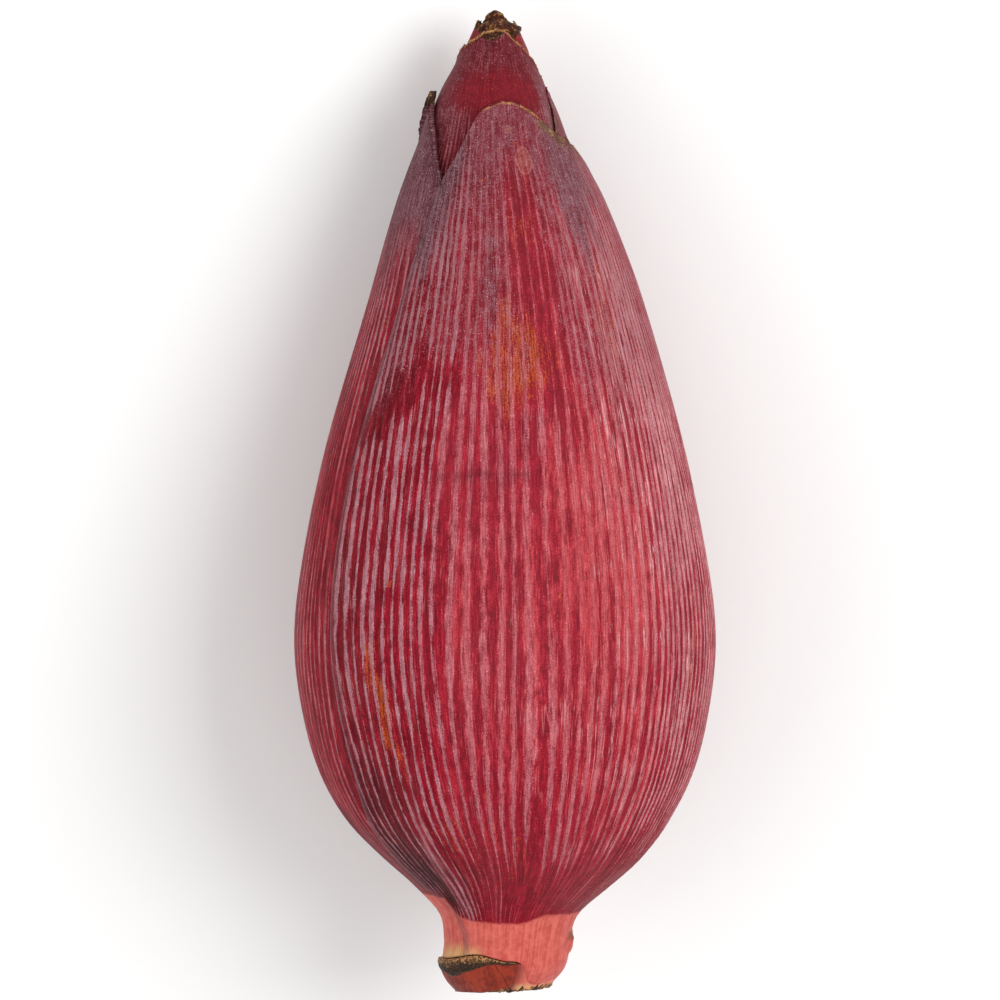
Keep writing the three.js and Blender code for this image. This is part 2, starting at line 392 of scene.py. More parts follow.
def front_tones(angle, y):
    """The front outer bract: crisp stripes of bloom at its left, worn to a soft haze in front."""
    fields = {kind: patches(angle, y, spots) for kind, spots in FRONT_PATCHES.items()}
    left_side = step_up(-12, -26, angle)
    right_side = step_up(44, 58, angle)
    # A bare crimson band runs down from the rim, right of the middle.
    red_band = np.abs(angle - smooth([(150, 22), (185, 15), (216, 11)], y)) / 8
    red_band = step_up(1.0, 0.3, red_band) * step_up(146, 160, y) * step_up(224, 212, y)
    bloom = 0.7 + 0.1 * left_side + 0.2 * right_side + 0.12 * drift(angle, y, 41)
    bloom += fields["bloom"] - 0.55 * red_band
    bloom -= 0.5 * step_up(46, 30, y) * step_up(-30, -22, angle)
    haze = np.clip(1 - left_side - 0.75 * right_side - 0.35 * step_up(95, 60, y), 0, 1)
    grey = 0.22 * step_up(150, 175, y) + 0.26 * step_up(196, 232, y)
    grey = grey * (1 - 0.6 * blob(angle, y, 12, 214, 20, 20)) + fields["grey"]
    grey = grey * (1 - 0.9 * red_band) + 0.3 * blob(angle, y, -4, 190, 9, 18)
    # Darker towards the left and at the left margin, where the bract turns from the light: painted
    # shade.
    dark = fields["dark"] + 0.3 * red_band + 0.22 * left_side + 0.25 * step_up(-30, -52, angle)
    dark += 0.4 * step_up(46, 26, y) + 0.15 * step_up(160, 190, y) + 0.6 * step_up(200, 232, y)
    return bloom, haze, fields["coral"], grey, dark, fields["orange"]


def left_tones(angle, y):
    """The left outer bract: faint stripes, a bare band across it and a greyed, dark tip."""
    bloom = 0.4 + 0.16 * drift(angle, y, 42) + 0.2 * blob(angle, y, -58, 84, 16, 30)
    bloom += 0.3 * blob(angle, y, -68, 190, 30, 26) - 0.6 * blob(angle, y, -62, 134, 34, 13)
    haze = 0.25 + 0.25 * drift(angle, y, 43)
    coral = 0.05 + 0.15 * blob(angle, y, -62, 110, 16, 30)
    orange = 0.35 * blob(angle, y, -110, 90, 12, 22)
    grey = 0.9 * step_up(180, 216, y)
    dark = 0.34 + 0.4 * step_up(60, 30, y) + 0.6 * step_up(190, 225, y)
    return bloom, haze, coral, grey, dark, orange


def right_tones(angle, y):
    """The back: full stripes with a worn patch, and a bare red tip that curls up."""
    curled_tip = blob(angle, y, 88, 244, 26, 8)
    bloom = 0.72 + 0.2 * drift(angle, y, 44) - 0.5 * blob(angle, y, 180, 118, 26, 34)
    bloom = bloom - 0.8 * curled_tip
    haze = 0.4 + 0.3 * drift(angle, y, 45)
    coral = 0.15 + 0.4 * blob(angle, y, 150, 110, 34, 50)
    orange = 0.55 * blob(angle, y, 160, 150, 12, 24) + 0.4 * blob(angle, y, 200, 80, 10, 20)
    grey = 0.55 * step_up(190, 228, y) * (1 - curled_tip)
    dark = 0.15 + 0.7 * step_up(48, 26, y) + 0.6 * step_up(215, 238, y)
    return bloom, haze, coral, grey, dark, orange


def upper_tones(angle, y):
    """The cap: dusky, with a bare crimson middle and two dark nicks at its rim."""
    crimson = blob(angle, y, 3, 241.5, 78, 8)
    bloom = 0.42 + 0.35 * blob(angle, y, -48, 230, 34, 16) - 0.5 * crimson
    bloom += 0.5 * blob(angle, y, 56, 236, 18, 13)
    haze = 0.75 + 0 * y
    coral = 0.3 * blob(angle, y, 44, 228, 22, 12)
    grey = 0.14 * step_up(222, 246, y) + 0.25 * blob(angle, y, -56, 236, 34, 14)
    grey = grey * (1 - 0.95 * crimson) + 0.45 * blob(angle, y, 60, 238, 16, 12)
    nicks = blob(angle, y, -9, 256.8, 17, 2.6) + blob(angle, y, 52, 251.4, 7, 1.3)
    dark = 0.5 + 0.3 * step_up(244, 256, y) - 0.55 * crimson + 0.9 * nicks
    return bloom, haze, coral, grey, dark, 0 * y


def inner_tones(angle, y):
    """The youngest bracts: no bloom, a soft red that darkens towards the right."""
    flat = 0 * y
    coral = 0.5 + 0.4 * noise(angle / 20, y / 6, 51)
    dark = 0.1 - 0.2 * coral + 0.7 * step_up(10, 60, angle)
    return flat, flat + 0.5, coral, flat, dark, flat


def front_drying(angle, y, from_rim):
    """A cream lip along the middle of the rim, and an olive scuff at its right shoulder."""
    lip = step_up(-20, -12, angle) * step_up(40, 32, angle)
    lip = lip * (0.6 + 0.8 * noise(angle / 3, 0 * y, 58))
    bark = 0.9 * step_up(26, 34, angle) * step_up(70, 60, angle) - 1.0
    scuff = step_up(30, 38, angle) * step_up(76, 66, angle)
    scuff = scuff * step_up(4.6, 1.0, from_rim - 1.5 * noise(angle / 5, y / 2, 59))
    return lip, bark, scuff + blob(angle, y, 82, 15.4, 16, 2.0)


def left_drying(angle, y, from_rim):
    """A frayed brown tip."""
    frayed = blob(angle, y, -80, 245, 24, 10)
    return 0 * y, 5.4 * frayed - 1.2, 0.6 * frayed


def right_drying(angle, y, from_rim):
    """An olive margin below the curled tip."""
    margin = step_up(80, 74, angle) * step_up(4.0, 1.0, from_rim) * step_up(240, 238, y)
    return 0 * y, 0 * y - 1.2, margin


def upper_drying(angle, y, from_rim):
    """A cream lip all along the rim, with bark at its peak."""
    lip = 0.9 + 0.4 * noise(angle / 7, 0 * y, 68)
    return lip, 0.3 + 2.6 * blob(angle, y, -4, 258, 30, 5), 0 * y


def inner_drying(angle, y, from_rim):
    """A rim dried to bark, further down at the right."""
    bark = 1.3 + 1.3 * step_up(-20, 30, angle) + 0.7 * noise(angle / 18, 0 * y, 52)
    return 0 * y, bark, 0 * y


LOOKS = {
    "front_outer_bract": (front_tones, front_drying),
    "left_outer_bract": (left_tones, left_drying),
    "right_outer_bract": (right_tones, right_drying),
    "upper_front_bract": (upper_tones, upper_drying),
    "upper_back_bract": (inner_tones, inner_drying),
    "right_inner_bract": (inner_tones, inner_drying),
    "left_inner_bract": (inner_tones, inner_drying),
}


def rib_phase(name, angle, y):
    """How many ribs round the bud a point is. Ribs wander, vary in width and crowd at a margin."""
    seed = 21 + 2 * LAYERS.index(name)
    phase = angle / RIB_PITCH + noise(angle / 20, y / 110, seed, wrap=18)
    phase = phase + 0.3 * noise(angle / 6.5, y / 60, seed + 1, wrap=55)
    if name == "front_outer_bract":
        inward = angle - smooth(BRACTS[name]["left"], y)
        phase = phase - 1.6 * np.exp(-inward / 9) + 0.14 * np.maximum(angle - 48, 0)
    return phase


def ring_mark(angle, y, at_angle, at_y, wide, tall):
    """1 inside an oval, falling off across its edge at 0.5, a little ragged."""
    d = np.hypot((angle - at_angle) / wide, (y - at_y) / tall)
    return np.clip(1.5 - d - 0.12 * noise(angle / 3, y / 1.6, 53), 0, 1)


def blurred_place(name, angle, y):
    """The place whose tones a point takes, scattered so that patches have uneven outlines."""
    reach = 1.0 if "outer" in name else 0.25
    aside = 4.5 * noise(angle / 8, y / 15, 36, wrap=45)
    aside = aside + 2.5 * noise(angle / 2.5, y / 9, 37, wrap=144)
    above = 9.0 * noise(angle / 6, y / 18, 38, wrap=60) + 5.0 * noise(angle / 1.7, y / 8, 39)
    return angle + reach * aside, y + reach * above * step_up(24, 40, y)


def surface_attributes(name, angle, y, from_rim, from_margin):
    """What the materials read at each vertex. "flow" follows the ribs: rib number, height in
    millimetres and layer. "tone" and "shade" are the fields above. "edge" holds the distances in
    millimetres from the rim, from the side margin and above the pink foot. "dried" is how strong
    the pale lip is, how far the bark-like rim reaches in millimetres and how olive it is. "marks"
    is the scabs, the pressed crease and the angle."""
    tones, drying = LOOKS[name]
    bloom, haze, coral, grey, dark, orange = tones(*blurred_place(name, angle, y))
    lip, bark, olive = drying(angle, y, from_rim)
    layer = float(LAYERS.index(name))
    pink_top = smooth(PINK_TOP[name], angle) if name in PINK_TOP else OTHER_PINK_TOP
    scab = crease = 0 * y
    if name == "front_outer_bract":
        large, small = (18, 223, 5.2, 3.6), (9, 231.5, 2.2, 1.2)
        scab = np.maximum(ring_mark(angle, y, *large), ring_mark(angle, y, *small))
        crease = blob(angle, y, -5, 138.5 + 0.8 * noise(angle / 7, 0 * y, 54), 21, 1.7)
    return packed({
        "flow": (rib_phase(name, angle, y), y, layer),
        "tone": (bloom, haze, coral),
        "shade": (grey, dark, orange),
        "edge": (from_rim, from_margin, y - pink_top),
        "dried": (lip, bark, olive),
        "marks": (scab, crease, angle),
    }, y)


# ---- Bracts ----
def rim_fray(name, angle):
    """How ragged the rim is, in mm along the bud."""
    seed = 60 + 7 * LAYERS.index(name)
    level = 0 * angle + 0.5
    coarse = 0.45 * rough_noise(angle / 10, level, seed)
    return coarse + 0.14 * noise(angle / 1.6, level, seed + 5)


def front_pleat(angle, y):
    """The front bract's lower left drops behind a fold that runs down to the foot."""
    line = smooth([(23, -37), (34, -36), (45, -31), (70, -25), (90, -22)], y)
    fade = step_up(20, 27, y) * step_up(92, 60, y)
    return -1.7 * fade * step_up(line + 2.0, line - 3.5, angle) * step_up(-66, -46, angle)


def lift_rim(name, angle, y, from_rim):
    """How far the rim stands out from the layer below, in mm."""
    curl = 0.3 * np.exp(-((from_rim / 1.1) ** 2))
    if name == "left_outer_bract":
        curl = curl + 0.2 * blob(angle, y, -80, 246, 22, 6)
    if name == "right_outer_bract":
        curl = curl - 0.6 * blob(angle, y, 82, 246, 34, 16)
    if name == "upper_front_bract":
        wavy = 1 + 0.8 * noise(angle / 6, y / 3, 55)
        curl = curl + 0.25 * np.exp(-((from_rim / 0.8) ** 2)) * wavy
        curl = curl + 0.7 * blob(angle, y, -82, 238, 44, 13)
    if name == "right_inner_bract":
        curl = curl + 1.5 * blob(angle, y, 85, 257, 62, 8)
    return curl


def bract_grid(name):
    """Where a bract's vertices are: angle, height, and distance from the rim and a side margin."""
    bract = BRACTS[name]
    at = np.linspace(-1, 1, bract["columns"])
    share, u = np.meshgrid(crowded_rows(bract["rows"]), at, indexing="ij")
    rim = smooth(bract["rim"], u)
    start = bract.get("foot", OUTER_FOOT)
    plain_y = start + (rim - start) * share
    left, right = smooth(bract["left"], plain_y), smooth(bract["right"], plain_y)
    angle = left + (right - left) * (u + 1) / 2
    y = plain_y + rim_fray(name, angle) * share**8
    if "foot" not in bract:
        y = y + (smooth(BASE_EDGE, angle) - start) * (1 - step_up(0, 0.09, share))
    radius = layer_radius(LAYERS.index(name), y)
    from_margin = np.radians((right - left) / 2 * (1 - np.abs(u)) * radius)
    return angle, y, rim - plain_y, from_margin


def make_bract(name, material):
    """A bract as a closed shell: its outer skin, its inner skin and the thin edges between."""
    bract = BRACTS[name]
    angle, y, from_rim, from_margin = bract_grid(name)
    fields = surface_attributes(name, angle, y, from_rim, from_margin)
    base = layer_radius(LAYERS.index(name), y) + swell(angle, y)
    base = base + lift_rim(name, angle, y, from_rim)
    if name == "front_outer_bract":
        foot_knob = blob(angle, y, 88, 13.2, 16, 3.4)
        base = base + front_pleat(angle, y) + foot_knob
    if name == "left_outer_bract":
        covered = smooth(BRACTS["front_outer_bract"]["left"], y)
        base = base + front_pleat(angle, y) * step_up(covered - 3, covered + 1, angle)

    # The dried rim crumbles, and the left outer bract's frayed tip is thickened by it.
    bark = np.clip(1 - from_rim / np.maximum(fields["dried"][..., 1], 0.05), 0, 1)
    crumble = bark * rough_noise(angle / 5, y / 1.1, 56) * 0.28
    if name == "left_outer_bract":
        crumble = crumble + 1.6 * np.sqrt(bark)

    # Ribs fade out at the margins. The pressed crease is a groove, and the outer bracts' lower edge
    # sinks to the stub at the right.
    wave = 0.5 * np.cos(2 * np.pi * rib_phase(name, angle, y))
    strength = 0.75 + 0.4 * noise(angle / 8, y / 24, 57, wrap=45)
    relief = smooth(RIB_HEIGHT, y) * strength * wave * step_up(0, 3, from_margin)
    relief = relief - 0.22 * fields["marks"][..., 1]
    if "foot" not in bract:
        at_stub = step_up(1.8, 0.0, y - smooth(BASE_EDGE, angle)) * step_up(12, 22, angle)
        relief = relief - 0.26 * at_stub * step_up(110, 90, angle)

    # Side margins and the rim thin out.
    thickness = smooth(LAYER_STEP, y) - smooth(LAYER_AIR, y)
    margin_roll = 0.75 * thickness * (1 - np.clip(from_margin / 2.6, 0, 1)) ** 2
    rim_thin = 0.55 * thickness * (1 - np.clip(from_rim / 2.2, 0, 1)) ** 2
    outer = base + relief + crumble - margin_roll - rim_thin
    inner = np.minimum(base - thickness, outer - LEAST_THICKNESS)

    grids = [placed(bud_points(angle, y, radius)).reshape(-1, 3) for radius in (outer, inner)]
    both = {key: np.concatenate([v.reshape(-1, 3)] * 2) for key, v in fields.items()}
    faces = shell_faces(*y.shape)
    uv = shell_uv(faces, *y.shape)
    places = np.concatenate(grids)
    add_piece(name + "_skin", name, places, faces, material, both, uv)


# ---- Stem and heart: closed bodies of rings round the axis ----
def make_ringed(name, node, material, angle, y, radius, attributes):
    """A closed body made of rings, whose first and last have shrunk to the axis."""
    rows, columns = y.shape
    places = placed(bud_points(angle, y, radius)).reshape(-1, 3)
    faces = grid_quads(rows, columns, closed=True)
    row, column = np.divmod(faces, columns)
    last = (column == 0) & ((column.max(1) == columns - 1)[:, None])
    u = np.where(last, columns, column) / columns
    uv = np.stack([0.004 + 0.992 * u, 0.004 + 0.992 * row / (rows - 1)], -1).reshape(-1, 2)
    flat = {key: v.reshape(-1, 3) for key, v in attributes.items()}
    add_piece(name, node, places, faces, material, flat, uv)


def make_heart(material):
    """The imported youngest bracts. Only the dried, crumbly tip shows."""
    heights = np.concatenate(
        [[43.4, 43.4, 46], np.linspace(50, 236, 34), np.linspace(239, 264.6, 90), [264.8, 264.9]]
    )
    angle, y = np.meshgrid(np.arange(0, 360, 1.5), heights)
    radius = layer_radius(INNERMOST, np.minimum(y, 262.0))
    radius = radius * np.sqrt(np.clip((LENGTH - y) / 3.0, 0, 1))
    crumbs = step_up(249, 257, y) * (1 - step_up(264, 264.8, y))
    wide = 2.9 * np.exp(-(((y - 259.6) / 2.9) ** 2)) * (1 + 0.25 * np.sin(np.radians(angle)))
    radius = radius + crumbs * (wide + 0.75 * rough_noise(angle / 30, y / 1.7, 71))
    radius = radius + crumbs * 0.3 * noise(angle / 7, y / 0.8, 76)
    radius = np.maximum(radius, 0.15)
    radius[0], radius[-1] = 0, 0
    y = y + crumbs * 0.5 * noise(angle / 45, y / 2.2, 74, wrap=8)
    no_margin, all_bark = 20 + 0 * y, 9.0
    from_tip = np.maximum(LENGTH - y, 0)
    fields = surface_attributes("left_inner_bract", angle, y, from_tip, no_margin)
    fields["dried"][..., 1] = all_bark
    make_ringed("heart_skin", "heart", material, angle, y, radius, fields)


def make_stem(material):
    """The cut stub with its old bract scar, and the swelling inside the bracts."""
    cut_rows, side_rows, cut_radius, top = 16, 48, 11.9, 41
    degrees = np.arange(-150, 210, 0.75)
    # Where the bracts sit low, the stub meets them with no gap.
    open_gap = 1 - step_up(12, 20, degrees) * step_up(120, 100, degrees)
    edge = smooth(BASE_EDGE, degrees) - BODY_GAP * open_gap
    slant = np.sin(np.radians(degrees))
    cut = CUT_SLANT / 2 * (1 + slant)
    rows = []
    for share in np.linspace(0, 1, cut_rows) ** 0.7:
        rows.append((CUT_SLANT / 2 * (1 + share * slant), cut_radius * share + 0 * degrees))
    for share in np.linspace(0.02, 1, side_rows):
        y = cut + (edge - cut) * share
        rows.append((y, layer_radius(0, y) - 0.3))
    swelling = [(edge, 3), (13, 3), (18, 3), (23, 3), (27, 4), (31, 5), (35, 6), (38, 6.75)]
    for y, layers in [*swelling, (top, 7.5)]:
        y = y + 0 * degrees
        rows.append((y, layer_radius(layers, y) - BODY_GAP))
    rows.append((top + 0 * degrees, 0 * degrees))
    y = np.array([r[0] for r in rows])
    radius = np.array([r[1] for r in rows])
    angle = np.broadcast_to(degrees, y.shape)
    number = np.arange(len(y))[:, None]
    face = number < cut_rows
    side = (number >= cut_rows) & (number < cut_rows + side_rows)
    # The scar is a crusted ledge along the stub's left that tapers to a line towards the front.
    scar_low = 0.35 * noise(angle / 5, 0 * y, 81) + smooth(
        [(-150, 6), (-90, 6.4), (-50, 4.9), (-30, 6.5), (-12, 7.9), (0, 8.1), (17, 8.3)], angle
    )
    around = step_up(17, 13, angle) * step_up(-128, -112, angle)
    crust = around * step_up(-0.3, 0.35, y - scar_low) * side
    up_crust = np.clip((y - scar_low) / np.maximum(edge - scar_low, 0.3), 0, 1)
    grain = rough_noise(angle / 2.6, y / 0.75, 82)
    proud = 1 - 0.5 * step_up(-10, 14, angle) - 0.6 * step_up(-45, -75, angle)
    radius = radius + crust * (0.3 + 0.5 * np.abs(grain)) * proud
    # A fringe of dry fibres hangs along the front of the cut.
    from_cut = np.where(face, cut_radius - radius, y - cut)
    ragged = 0.55 * rough_noise(angle / 3.5, 0 * y, 86)
    fringe = step_up(-16, -8, angle) * step_up(92, 78, angle)
    fringe = fringe * step_up(1.2 + ragged, 0.5 + ragged, from_cut) * (face | side)
    radius = radius + fringe * (0.15 + 0.25 * np.abs(grain)) * step_up(3.0, 0.0, from_cut) * side
    y = y - 0.2 * fringe * (1 + grain) * (from_cut < 1.0)
    y = y + np.where(face, 0.12 * noise(radius / 1.5, angle / 12, 84), 0)
    radius = radius * (1 + 0.012 * noise(angle / 20, y / 4, 85, wrap=18) * side)
    # A thin crack slants down from the scar; this is the distance from it in millimetres.
    crack = np.abs(angle + 3 - (6.5 - y) * 2.6 - 1.2 * noise(y / 1.1, 0 * y, 87)) * 0.26
    fields = packed({
        "flow": (angle / RIB_PITCH, y, angle),
        "marks": (crust, up_crust, face + 0.0),
        "disc": (radius, fringe, crack),
    }, y)
    make_ringed("stem_flesh", "stem", material, angle, y, radius, fields)


# ---- Materials ----
def linear(red, green, blue):
    """An sRGB colour, 0 to 255, as the linear values that shaders take."""
    values = [c / 255 for c in (red, green, blue)]
    return [c / 12.92 if c <= 0.04045 else ((c + 0.055) / 1.055) ** 2.4 for c in values] + [1.0]


BUMP_DEPTH = 0.0005  # metres


class Shader:
    """A node material under construction. Its methods add a node and return its output."""

    def __init__(self, name):
        self.material = bpy.data.materials.new(name)
        self.material.use_nodes = True
        self.tree = self.material.node_tree
        self.surface = self.tree.nodes["Principled BSDF"]

    def node(self, kind, output, inputs, **settings):
        made = self.tree.nodes.new("ShaderNode" + kind)
        for key, value in settings.items():
            setattr(made, key, value)
        for key, value in inputs.items():
            self.feed(made.inputs[key], value)
        return made.outputs[output]

    def feed(self, socket, value):
        """Links an output to a socket, or sets the socket to a plain value."""
        if isinstance(value, bpy.types.NodeSocket):
            self.tree.links.new(value, socket)
        else:
            socket.default_value = value

    def math(self, operation, a, b=0.0, clamp=False):
        return self.node("Math", 0, {0: a, 1: b}, operation=operation, use_clamp=clamp)

    def product(self, *values):
        """The product of sockets and numbers."""
        return functools.reduce(lambda a, b: self.math("MULTIPLY", a, b), values)

    def total(self, *terms):
        """The sum of (factor, value) pairs."""
        scaled = [self.math("MULTIPLY", value, factor) for factor, value in terms]
        return functools.reduce(lambda a, b: self.math("ADD", a, b), scaled)

    def mix(self, share, a, b, blend="MIX"):
        """Colour a turning to colour b as share goes from 0 to 1."""
        return self.node("Mix", 2, {0: share, 6: a, 7: b}, data_type="RGBA", blend_type=blend)

    def between(self, value, low, high, to_low=0.0, to_high=1.0):
        """value taken from low..high to to_low..to_high, smooth and held at the ends."""
        inputs = {0: value, 1: low, 2: high, 3: to_low, 4: to_high}
        return self.node("MapRange", 0, inputs, interpolation_type="SMOOTHSTEP")

    def attribute(self, name):
        """The three numbers of a vertex attribute."""
        vector = self.node("Attribute", "Vector", {}, attribute_name=name)
        split = self.tree.nodes.new("ShaderNodeSeparateXYZ")
        self.tree.links.new(vector, split.inputs[0])
        return split.outputs

    def vector(self, x, y, z):
        return self.node("CombineXYZ", 0, {0: x, 1: y, 2: z})

    def noise(self, at, scale, detail, roughness):
        """Noise from 0 to 1 at a vector."""
        inputs = {"Vector": at, "Scale": scale, "Detail": detail, "Roughness": roughness}
        return self.node("TexNoise", 0, inputs)

    def bump(self, height, strength, normal=None):
        """A normal roughened by a height, on top of another normal if one is given."""
        inputs = {"Height": height, "Strength": strength, "Distance": BUMP_DEPTH}
        if normal is not None:
            inputs["Normal"] = normal
        return self.node("Bump", 0, inputs)


CRIMSON = linear(157, 20, 42)
# DEEP_RED is the outer bracts' painted valley shade, and the darker band above the pink foot.
DEEP_RED = linear(130, 12, 30)
# MAROON: the skin's dark pits and patches, and painted shade in valley bottoms, folds and along the
# left side.
MAROON = linear(62, 8, 16)
CORAL = linear(192, 74, 78)
ORANGE = linear(176, 78, 20)
DUSKY_ROSE = linear(158, 54, 66)
LILAC = linear(166, 118, 127)
ROSE = linear(172, 88, 96)
SHELL_PINK = linear(186, 126, 132)
PALE_PINK = linear(226, 180, 180)
GREY_PLUM = linear(76, 40, 50)
ASH_PINK = linear(132, 94, 102)
PINK = linear(216, 108, 97)
PINK_SHADE = linear(190, 82, 74)
CREAM = linear(214, 168, 114)
TAN = linear(190, 136, 86)
BARK = linear(80, 52, 30)
SOOT = linear(30, 18, 10)
OLIVE = linear(104, 84, 62)
BRUISE = linear(96, 22, 34)
SCAB = linear(190, 124, 110)
CAP_RED, CAP_SHADOW = linear(116, 12, 26), linear(78, 4, 12)
TIP_RED, TIP_SHADOW = linear(182, 40, 46), linear(138, 16, 26)
STUB_DARK, STUB_RED, STUB_STREAK = linear(108, 26, 14), linear(146, 46, 24), linear(168, 64, 38)
PITH, PITH_SHADE = linear(206, 158, 110), linear(156, 100, 62)


def bract_material(name, base, shadow):
    """Ribbed waxy skin: red ground with painted valley shade, rib stripes of bloom, a pink foot,
    dried edges.
    """
    s = Shader(name)
    rib, high, layer = s.attribute("flow")
    bloom, haze, coral = s.attribute("tone")
    grey, dark, orange = s.attribute("shade")
    from_rim, from_margin, above_pink = s.attribute("edge")
    lip, bark, olive = s.attribute("dried")
    scab, crease, angle = s.attribute("marks")
    seed = s.product(layer, 13.7)
    place = s.node("TexCoord", "Object", {})

    def along(across, up, scale, detail, roughness):
        """Noise stretched along the ribs, from -0.5 to 0.5."""
        at = s.vector(s.product(rib, across), s.product(high, up), seed)
        return s.math("SUBTRACT", s.noise(at, scale, detail, roughness), 0.5)

    def around(scale, detail, roughness):
        """Noise as coarse across the ribs as along them, from -0.5 to 0.5."""
        return s.math("SUBTRACT", s.noise(place, scale, detail, roughness), 0.5)

    streaks = along(1.0, 0.032, 2.4, 3.0, 0.6)
    fibres = along(1.0, 0.018, 9.0, 3.0, 0.7)
    hairs = along(1.0, 0.01, 2.6, 1.0, 0.5)
    patchy = along(0.14, 0.035, 2.2, 3.0, 0.6)
    bands = along(0.75, 0.012, 1.3, 1.0, 0.5)
    spots = around(240.0, 1.0, 0.5)
    mottle = around(420.0, 4.0, 0.7)
    grain = around(2300.0, 2.0, 0.8)
    dust = around(4200.0, 1.0, 0.5)
    ribbed = s.between(high, 242.0, 205.0, 0.12, 1.0)
    ridge = s.math("SUBTRACT", s.math("PINGPONG", rib, 0.5), 0.2)  # low on a rib, high in a valley
    ridge = s.product(ridge, ribbed)
    ash = s.between(s.total((1.2, grain), (0.8, mottle), (1.0, dust), (1.2, fibres)), -0.36, 0.4)
    ash = s.mix(ash, GREY_PLUM, ASH_PINK)

    # Red ground: each rib its own tint, painted shade in the valleys, and coral where the skin is
    # thin, as painted light on lit ridges.
    lift = s.product(s.total((2.0, bands), (1.8, streaks), (1.3, fibres)), ribbed)
    lift = s.math("ADD", lift, s.total((0.5, mottle), (0.5, grain)))
    ground = s.between(s.math("SUBTRACT", lift, ridge), -0.6, 0.3)
    ground = s.mix(ground, shadow, base)
    lit = s.math("ADD", lift, s.total((0.9, coral), (-1.7, ridge)))
    ground = s.mix(s.between(lit, 0.0, 1.0, 0.0, 0.85), ground, CORAL)
    # The dark field turns the ground maroon: the skin's own dark patches, and painted shade in the
    # folds and along the front bract's left.
    uneven = s.total((0.5, mottle), (1.0, fibres), (0.8, streaks))
    ground = s.mix(s.math("SUBTRACT", s.product(dark, 0.75), uneven, clamp=True), ground, MAROON)
    # The valley bottoms get maroon lines of painted shade.
    valley_shade = s.total((1.0, ridge), (0.9, fibres), (0.5, streaks), (-0.16, haze))
    ground = s.mix(s.between(valley_shade, 0.3, 0.46, 0.0, 0.5), ground, MAROON)
    ground = s.mix(s.product(haze, 0.26), ground, DUSKY_ROSE)
    glow = s.total((1.0, orange), (2.0, fibres), (2.4, grain), (1.6, patchy), (1.2, streaks))
    ground = s.mix(s.between(glow, 0.5, 1.2, 0.0, 0.75), ground, ORANGE)
    flecks = s.between(s.total((1.0, spots), (0.5, grain)), 0.28, 0.33, 0.0, 0.6)
    ground = s.mix(flecks, ground, ORANGE)

    # Waxy bloom: stripes on the ribs, as wide as the bloom is strong, softened by haze in front.
    cover = s.total(
        (1.0, bloom), (-2.3, ridge), (0.9, streaks), (0.55, grain), (1.1, patchy), (0.9, bands),
        (0.8, fibres), (0.25, mottle),
    )
    cover = s.math("ADD", cover, s.product(haze, s.total((0.7, fibres), (-1.2, ridge))))
    soft = s.product(haze, 0.36)
    stripe = s.between(cover, s.math("SUBTRACT", 0.76, soft), s.math("ADD", 1.02, soft))
    thick = s.total((1.0, grain), (0.7, mottle), (1.2, fibres), (0.5, dust))
    stripe = s.product(stripe, s.between(thick, -0.4, 0.35, 0.4, 1.0))
    stripe = s.product(stripe, s.math("SUBTRACT", 1.0, s.product(haze, 0.3)))
    wax = s.math("ADD", s.product(coral, 0.5), s.product(haze, 0.6), clamp=True)
    wax = s.mix(wax, LILAC, ROSE)
    wax = s.mix(s.between(angle, 24.0, 56.0), wax, SHELL_PINK)
    skin = s.mix(stripe, ground, wax)
    hair = s.between(s.math("ABSOLUTE", hairs), 0.02, 0.005, 0.0, 0.45)
    waxed = s.between(s.total((0.8, bloom), (1.6, patchy), (1.5, fibres)), 0.4, 0.9)
    hair = s.product(hair, waxed, ribbed, s.between(angle, 0.0, 40.0, 0.25, 1.0))
    skin = s.mix(hair, skin, PALE_PINK)

    # Grey, matt bloom that lies over valleys too, broken up by fine grain.
    film = s.total((1.0, grey), (1.7, mottle), (2.1, grain), (1.6, fibres), (1.2, dust))
    film = s.product(s.between(film, 0.0, 1.1, 0.0, 0.88), s.between(grey, 0.0, 0.2))
    skin = s.mix(film, skin, ash)

    # Small marks: the pressed crease, pale flecks, dark pits, fine texture and scab outlines.
    pressed = s.between(s.total((1.0, mottle), (1.0, grain)), -0.15, 0.1, 0.1, 0.8)
    skin = s.mix(s.product(crease, pressed), skin, BRUISE)
    fleck = s.between(s.total((1.0, grain), (0.6, fibres), (0.7, dust)), 0.2, 0.4, 0.0, 0.6)
    fleck = s.product(fleck, s.between(s.math("ADD", stripe, film), 0.0, 0.5, 0.3, 1.0))
    skin = s.mix(fleck, skin, PALE_PINK)
    pit = s.between(s.total((1.0, grain), (0.5, mottle), (-0.1, grey)), -0.2, -0.32, 0.0, 0.4)
    skin = s.mix(pit, skin, MAROON)
    texture = s.total((0.7, grain), (1.0, fibres), (0.7, dust), (0.3, mottle))
    skin = s.mix(1.0, skin, s.between(texture, -0.34, 0.34, 0.66, 1.34), "MULTIPLY")
    outline = s.math("ABSOLUTE", s.math("SUBTRACT", scab, 0.55))
    outline = s.between(outline, 0.15, 0.04, 0.0, 0.45)
    outline = s.math("MAXIMUM", outline, s.between(scab, 0.55, 0.8, 0.0, 0.25))
    broken = s.between(s.total((1.0, mottle), (1.0, grain)), -0.2, 0.1, 0.3, 1.0)
    skin = s.mix(s.product(outline, broken), skin, SCAB)

